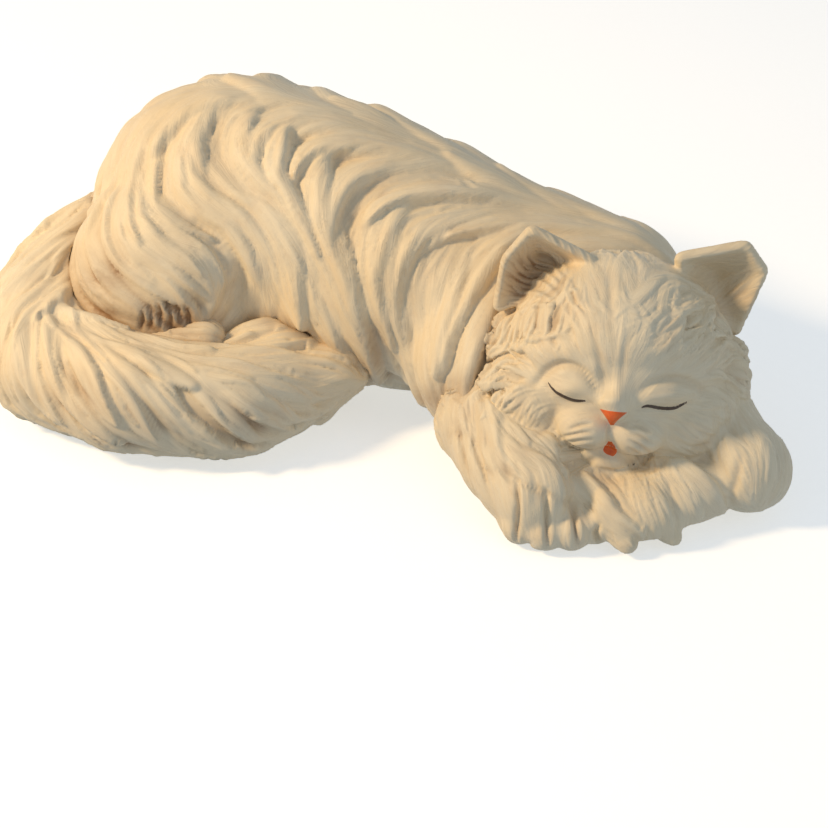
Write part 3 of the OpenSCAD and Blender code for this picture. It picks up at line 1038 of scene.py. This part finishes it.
class CARVE_OT_head(bpy.types.Operator):
    """Model the closed eyes, muzzle and ears, and lay the short fur of the head"""
    bl_idname = "figurine.carve_head"
    bl_label = "Head and ears"

    def execute(self, context):
        sizes = context.scene.figure_sizes
        clay = Clay(HEAD + FRONT, sizes.fine_grain, 26)
        flow = Comb(HEAD_COMB)
        face = clay.spots((
            (90.9, 28.9, 25.3, 20.7), (69.3, 33.5, 14.7, 11.9), (115.2, 31.2, 17.4, 13.8),
            (90.9, 8.3, 28.5, 17.4),
        ))
        forehead = clay.spots(((92.3, 74.8, 40.4, 32.1),))
        tufts = clay.spots((
            (57.9, 63.4, 17.4, 9.18), (69.3, 72.5, 11.9, 8.26), (131.3, 64.3, 19.3, 11), (152, 45, 11, 18.4),
            (35.8, 33.5, 11, 15.6), (44.1, 51.9, 11.9, 11),
        ))
        brows = clay.spots(((59.2, 48.7, 13.8, 5.51), (125.8, 50.5, 14.7, 5.97)))
        head, ears = clay.part("head_shell"), clay.part("right_ear", "left_ear")
        rest = np.clip(1 - 1.6 * face, 0, 1) * (1 - 0.9 * forehead) * head
        cheeks = clay.spots((
            (53.3, 17.4, 18.4, 13.8), (131.3, 15.2, 20.7, 15.6), (152, 26.6, 13.8, 18.4),
        ))
        self.model_face(clay)
        carve(clay, Coat(flow, 9 * MM, 36 * MM, 2.4 * MM, 300, 21, mask=rest * (1 - 0.4 * cheeks)))
        carve(clay, Coat(flow, 9 * MM, 48 * MM, 0.6 * MM, 120, 22, mask=forehead * head, furrow_shade=0.1))
        near_ear = clay.spots(((64.7, 67, 18.4, 15.6),))
        tufts = tufts * head * (1 - 0.6 * near_ear)
        carve(clay, Coat(flow, 4.4 * MM, 24 * MM, 2.3 * MM, 300, 23, wave=0.2, mask=tufts, lift=0.4))
        carve(clay, Coat(flow, 1.7 * MM, 12 * MM, 0.55 * MM, 420, 24, wave=0.05, mask=brows, furrow_shade=0.5))
        fine = np.clip(rest + cheeks, 0, 1) * head
        carve(clay, Coat(flow, 2.4 * MM, 16 * MM, 0.45 * MM, 900, 25, mask=fine, furrow_shade=0.3))
        inner = ears * clay.spots(((57.9, 81.7, 20.7, 23), (145.1, 77.1, 20.7, 23)))
        right_inner = inner * clay.spots(((57.9, 81.7, 27.5, 27.5),))
        lining = ears * (0.3 + 0.7 * right_inner)
        carve(clay, Coat(flow, 2.2 * MM, 16 * MM, 0.9 * MM, 300, 26, mask=lining))
        self.ear_hair(clay)
        # Tan painted shade: in the furrows, deeper at the listed places in and by the near ear and inside the
        # far ear, and in the creases between pieces away from the ears.
        brown = clay.spots((
            (55.6, 77.1, 11.9, 11.9), (67, 74.8, 10.1, 8.26), (83.1, 72.5, 3.67, 9.18),
            (55.6, 61.1, 13.8, 4.59),
        ))
        grey = clay.spots(((147.4, 74.8, 10.1, 13.8),))
        clay.crease_shade = clay.furrow * (0.25 + 0.8 * brown) + 0.5 * brown * ears + 0.3 * grey * ears
        clay.crease_shade += 0.2 * clay.nook * (1 - ears) + 0.3 * right_inner
        clay.furrow[:] = 0
        MADE["head"] = clay
        return {"FINISHED"}

    def model_face(self, clay):
        """Raises the lids, brows and cheeks, then draws the creases and the whiskers."""
        for mound in (
            (71.6, 31.7, 8.26, 4.13, 2.4), (116.2, 28.9, 8.72, 4.13, 2.4), (90.4, 26.2, 6.43, 3.67, 2.6),
            (88.6, 35.4, 6.89, 5.51, -2.2), (78.1, 9.2, 11.9, 7.81, 1.6), (103.8, 7.8, 12.4, 7.81, 1.6),
            (64.7, 48.7, 13.8, 4.59, 1.2), (123.5, 49.6, 14.7, 4.59, 1.2), (90.9, -3.7, 9.18, 3.21, 1.0),
            (90, 4.1, 4.13, 4.13, -1.0), (98.7, 31.2, 4.13, 6.43, -1.4), (33.5, 34, 5.97, 3.67, 3.2),
            (150.6, 28.9, 5.51, 4.59, 1.8), (147.4, 51.9, 4.59, 5.51, 1.6),
        ):
            clay.dab(*mound)
        for line, width, depth in (
            (((56, 34), (61.1, 39.9), (68, 42.7), (76.2, 40.4), (84, 32.1)), 2.07, 2.4),
            (((103.8, 30.3), (110.7, 34.9), (119.8, 36.3), (128.1, 34), (134.1, 28.5)), 2.07, 1.7),
            (((60.1, 34), (66.6, 28), (73.5, 25.3), (81.7, 24.8)), 1.1, 0.8),
            (((102.8, 21.6), (109.7, 23), (116.6, 22), (126.7, 25.3)), 1.1, 0.8),
            (((87.2, 32.1), (85.4, 45), (82.6, 58.8)), 1.84, 0.7),
            (((95, 32.1), (96.4, 45), (99.2, 56.5)), 1.84, 0.6),
            (((90.9, 58.8), (90.4, 72.5), (90.9, 86.3)), 2.3, 0.6),
            (((89.5, 14.7), (89.1, 11), (89.1, 6.9)), 0.735, 1.0),
            (((85.4, 1.4), (80.8, -1.8), (72.5, -4.6), (63.4, -1.8)), 1.84, 1.1),
            (((94.6, 1.4), (100.1, -2.8), (108.4, -4.6), (118.5, -0.9)), 1.84, 1.0),
            (((29.4, 27.5), (34.9, 29.4), (40.9, 32.1), (45, 30.3)), 1.84, 2.6),
            (((39.5, 39.5), (46.4, 36.7), (54.2, 34)), 1.38, 1.0),
            (((55.6, 8.3), (62.4, 15.2), (65.2, 23)), 2.3, 0.9),
            (((126.7, 2.8), (136.8, 8.3), (145.1, 17.4)), 1.84, 1.0),
        ):
            clay.groove(line, width, depth)
        for whisker in (
            ((80.8, 15.6), (76.7, 15.2), (71.6, 13.3)), ((81.3, 11.9), (74.8, 11), (67.5, 9.2)),
            ((81.7, 8.3), (73.9, 7.3), (65.2, 5.5)), ((81.7, 5.1), (74.4, 3.7), (66.6, 2.8)),
            ((100.6, 15.2), (104.7, 13.8), (108.4, 11.5)), ((100.1, 11.5), (104.7, 9.6), (109.3, 6.4)),
            ((99.2, 7.8), (103.8, 5.1), (108.8, 1.4)), ((98.7, 4.1), (102.4, 1.4), (106.5, -1.8)),
        ):
            clay.groove(whisker, 0.918, 1.2, 0.6)

    def ear_hair(self, clay):
        """Combs the tuft of hair inside the near ear, and two folds inside the far one."""
        for lock in (
            ((65.2, 76.2), (58.8, 80.3), (49.6, 81.3)), ((67, 79.9), (60.1, 84.5), (50.5, 86.3)),
            ((68, 83.6), (62.4, 88.2), (53.3, 90.4)), ((63.4, 72.5), (56.9, 75.3), (48.7, 75.3)),
            ((69.8, 87.2), (65.2, 92.7), (57.9, 97.3)), ((65.2, 70.2), (60.1, 70.2), (53.3, 69.8)),
        ):
            clay.groove(lock, 1.19, -1.3, 0)
        for fold in (
            ((141.4, 81.7), (147.4, 84.5), (153.4, 87.2)), ((140.5, 72.5), (147.4, 76.2), (152.4, 80.8)),
        ):
            clay.groove(fold, 1.19, -1.0, 0)


class CARVE_OT_front(bpy.types.Operator):
    """Carve the long pointed locks of the ruff, and both forelegs"""
    bl_idname = "figurine.carve_front"
    bl_label = "Ruff and forelegs"

    def execute(self, context):
        sizes = context.scene.figure_sizes
        clay = MADE["head"]
        flow = Comb(FRONT_COMB)
        front = clay.part(*FRONT)
        paws = clay.spots((
            (52.3, -29.4, 23, 15.6), (73.9, -32.1, 12.9, 11.9), (158.9, -7.8, 18.4, 20.7),
        ))
        arm = clay.spots(((30.3, 3.7, 22, 25.3), (39.5, -14.7, 18.4, 13.8)))
        front *= 1 - 0.75 * clay.border(*HEAD)
        low = ease(5 * MM, 28 * MM, clay.points[:, 2])
        long = (1 - 0.9 * paws) * (1 - 0.5 * arm) * front * (0.3 + 0.7 * low)
        arm *= (1 - paws) * front * (0.4 + 0.6 * low)
        carve(clay, Coat(flow, sizes.ruff_lock, 66 * MM, 5.0 * MM, 60, 31, wave=0.1, mask=long))
        carve(clay, Coat(flow, 10 * MM, 60 * MM, 2.0 * MM, 80, 33, wave=0.08, mask=arm))
        clay.relax(2, front)
        calm = 1 - 0.75 * clay.spots(((136.8, -14.7, 15.6, 13.8), (60.1, -26.2, 23, 15.6)))
        long *= calm
        carve(clay, Coat(flow, 6.5 * MM, 40 * MM, 1.1 * MM, 260, 34, wave=0.1, mask=long, furrow_shade=0.4))
        carve(clay, Coat(flow, 2.8 * MM, 26 * MM, 0.45 * MM, 700, 32, furrow_shade=0.2, mask=front * calm))
        for toe in (
            ((46.8, -10.1), (47.3, -23.9), (46.8, -37.6)), ((60.6, -14.7), (61.1, -26.2), (61.1, -39.9)),
            ((72.5, -19.3), (73.9, -28.5), (75.3, -39.9)), ((84.5, -30.8), (83.6, -35.4), (85.4, -39.9)),
        ):
            clay.groove(toe, 1.38, 2.6, 0.8)
        for line, width, depth in (
            (((38.1, -5.5), (48.7, -11), (62.4, -17), (73.9, -22)), 1.84, 1.0),
            (((27.1, 12.9), (29.4, 1.4), (35.8, -9.2)), 1.84, 1.4),
            (((17.4, 16.5), (20.2, 11), (22, 10.1)), 1.84, 1.2),
            (((145.1, -19.3), (147.8, -10.1), (149.7, -0.9)), 2.3, 1.4),
        ):
            clay.groove(line, width, depth)
        # Tan painted shade in the furrows of the ruff and forelegs, deeper at the listed notches between the
        # toes and in a few creases.
        notches = clay.spots((
            (46.8, -37.6, 3.67, 7.35), (61.1, -37.6, 3.67, 8.26), (73.9, -35.4, 3.67, 7.35),
            (41.8, -5.5, 11.5, 3.67), (20.2, 11, 4.13, 2.75), (94.6, -39.9, 6.43, 3.67),
        ))
        clay.crease_shade += clay.furrow * (0.25 + 0.6 * notches) * front
        clay.deliver((
            "head_fur", "right_ear_fur", "left_ear_fur", "ruff_fur", "right_arm_fur", "left_arm_fur",
        ))
        return {"FINISHED"}


NOSE = (90.9, 14.9)
MOUTH = (90, 0.9)
RIGHT_LASH = ((61.1, 35.4), (63.4, 32.1), (66.6, 29.4), (73, 26.6), (79.9, 26.2))
LEFT_LASH = ((103.8, 23), (107.4, 23.9), (112.9, 23), (119.8, 23), (126.3, 26.2))


class PAINT_OT_face(bpy.types.Operator):
    """Lay the nose, the mouth and the lash lines on the finished head"""
    bl_idname = "figurine.paint_face"
    bl_label = "Painted face"

    def execute(self, context):
        head = MADE["head"]
        self.tree = BVHTree.FromPolygons(
            head.points.tolist(), [tuple(p.vertices) for p in head.mesh.polygons]
        )

        def nose(u, v):
            rise = 0.5 + 0.5 * v
            spread = 0.12 + 0.88 * rise ** 1.3
            dip = 0.55 * (1 - u * u) * rise
            return NOSE[0] + (7.2 * u + 0.9 * rise) * spread, NOSE[1] + 7.2 * rise - 0.9 * u * rise - dip

        def mouth(u, v):
            rise = 0.5 + 0.5 * v
            half = 3.4 * math.sin(math.pi * (0.06 + 0.88 * (1 - rise) ** 1.5)) ** 0.8
            return MOUTH[0] + half * u, MOUTH[1] + 6.9 * rise - 0.5 * u * (1 - rise)

        def lash(stations):
            run = fine_run(stations, 60)

            def line(u, v):
                at = 0.5 + 0.5 * u
                x, y = run[int(round(at * 59))]
                return x, y + v * 0.95 * (0.35 + 0.65 * math.sin(math.pi * (0.1 + 0.75 * at)))
            return line

        self.patch("nose_paint", "nose_red", nose, 20, 16, 0.5, 0.8)
        self.patch("mouth_paint", "nose_red", mouth, 14, 18, 0.4, 0.5)
        self.patch("right_lash_line", "lash_black", lash(RIGHT_LASH), 50, 4, 0.3, 0.4)
        self.patch("left_lash_line", "lash_black", lash(LEFT_LASH), 50, 4, 0.3, 0.4)
        return {"FINISHED"}

    def patch(self, node, slot, outline, across, tall, raised, crown):
        """Lays a thin coat of colour on the head, thickest in the middle."""
        form = bmesh.new()
        bmesh.ops.create_grid(form, x_segments=across, y_segments=tall, size=1)
        ahead = Vector(-SIGHT.back)
        for vert in form.verts:
            u, v = vert.co.x, vert.co.y
            landed, out, _, _ = self.tree.ray_cast(Vector(SIGHT.eye), Vector(SIGHT.ray(*outline(u, v))))
            if landed is None:
                raise RuntimeError(f"{node} misses the head")
            edge = max(abs(u), abs(v))
            height = raised * (1 - edge ** 4) + (crown - raised) * (1 - u * u) * (1 - v * v) - 0.12
            vert.co = landed + out * (height * MM)
        bmesh.ops.remove_doubles(form, verts=form.verts, dist=0.02 * MM)
        bmesh.ops.recalc_face_normals(form, faces=form.faces)
        if sum(f.normal.dot(ahead) for f in form.faces) > 0:
            bmesh.ops.reverse_faces(form, faces=form.faces)
        bmesh.ops.solidify(form, geom=form.faces, thickness=0.4 * MM)
        bmesh.ops.recalc_face_normals(form, faces=form.faces)
        mesh = bpy.data.meshes.new(node)
        form.to_mesh(mesh)
        form.free()
        mesh.polygons.foreach_set("use_smooth", np.ones(len(mesh.polygons), bool))
        hand_over(link("brushed_" + node, mesh), node, slot)


class FIT_OT_pads(bpy.types.Operator):
    """Give the pads under the base their felt"""
    bl_idname = "figurine.fit_pads"
    bl_label = "Felt pads"

    def execute(self, context):
        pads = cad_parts["felt_pads"]
        pads.data.materials.clear()
        pads.data.materials.append(finish_for("felt"))
        return {"FINISHED"}


# How far above the aim point the middle of the view lies, as a share of its distance.
VIEW_RISE = 0.0202
# Each lamp's place from the aim point in metres, its width and its power.
WINDOW = ((-0.92, -0.16, 0.72), 0.22, 10.5)
ROOM = ((0.9, -0.7, 0.7), 0.9, 1.0)
SKY = (0.80, 0.91, 1.0, 1)
SKY_STRENGTH = 0.40
PAPER = (0.93, 0.93, 0.93, 1), (0.96, 0.96, 0.96, 1)
PAPER_GLOW = 0.45


class STAGE_OT_set(bpy.types.Operator):
    """Lay the pale floor, place the lights and aim the camera"""
    bl_idname = "figurine.set_stage"
    bl_label = "Stage"

    def execute(self, context):
        sizes = context.scene.stage_sizes
        self.floor()
        self.camera(context, sizes)
        self.light("window", *WINDOW, sizes.warm)
        self.light("room", *ROOM, sizes.cool)
        world = bpy.data.worlds.new("studio")
        world.use_nodes = True
        back = world.node_tree.nodes["Background"]
        back.inputs["Color"].default_value = SKY
        back.inputs["Strength"].default_value = SKY_STRENGTH
        context.scene.world = world
        context.scene.view_settings.view_transform = "Standard"
        return {"FINISHED"}

    def floor(self):
        form = bmesh.new()
        bmesh.ops.create_circle(form, cap_ends=True, segments=96, radius=3 * SCALE)
        mesh = bpy.data.meshes.new("floor")
        form.to_mesh(mesh)
        form.free()
        floor = link("floor", mesh)
        finish = Finish("pale_paper")
        tooth = finish.noise(finish.place(), 300.0, 3.0)
        colour = finish.blend(tooth, *PAPER)
        mesh.materials.append(finish.set(
            Base_Color=colour, Roughness=0.9, Emission_Color=colour, Emission_Strength=PAPER_GLOW,
        ))
        floor.visible_diffuse = False

    def camera(self, context, sizes):
        lens = bpy.data.cameras.new("camera")
        lens.lens = sizes.lens
        lens.sensor_width = 36
        lens.dof.use_dof = False
        camera = bpy.data.objects.new("camera", lens)
        context.scene.collection.objects.link(camera)
        camera.location = SIGHT.eye
        lift = math.atan(VIEW_RISE)
        camera.rotation_euler = (math.pi / 2 - SIGHT.tilt + lift, 0, 0)
        context.scene.camera = camera

    def light(self, name, place, size, power, colour):
        aim = Vector(SIGHT.aim)
        lamp = bpy.data.lights.new(name, "AREA")
        lamp.shape = "DISK"
        lamp.size = size * SCALE
        lamp.energy = power * SCALE ** 2
        lamp.color = colour
        light = bpy.data.objects.new(name, lamp)
        bpy.context.scene.collection.objects.link(light)
        light.location = aim + Vector(place) * SCALE
        light.rotation_euler = (aim - light.location).to_track_quat("-Z", "Y").to_euler()


OPERATORS = (
    CARVE_OT_body, CARVE_OT_tail, CARVE_OT_head, CARVE_OT_front, PAINT_OT_face, FIT_OT_pads, STAGE_OT_set,
)


class FIGURINE_PT_panel(bpy.types.Panel):
    """Lists the steps that build the figurine"""
    bl_idname = "FIGURINE_PT_panel"
    bl_label = "Sleeping cat"
    bl_space_type = "VIEW_3D"
    bl_region_type = "UI"
    bl_category = "Figurine"

    def draw(self, context):
        for group in (context.scene.figure_sizes, context.scene.stage_sizes):
            for name in group.__annotations__:
                self.layout.prop(group, name)
        for step in OPERATORS:
            self.layout.operator(step.bl_idname)


CLASSES = (FigureSizes, StageSizes) + OPERATORS + (FIGURINE_PT_panel,)


def register():
    for item in CLASSES:
        bpy.utils.register_class(item)
    bpy.types.Scene.figure_sizes = bpy.props.PointerProperty(type=FigureSizes)
    bpy.types.Scene.stage_sizes = bpy.props.PointerProperty(type=StageSizes)


def unregister():
    del bpy.types.Scene.figure_sizes
    del bpy.types.Scene.stage_sizes
    for item in reversed(CLASSES):
        bpy.utils.unregister_class(item)


def main():
    register()
    for step in OPERATORS:
        group, name = step.bl_idname.split(".")
        getattr(getattr(bpy.ops, group), name)()


if __name__ == "__main__":
    main()
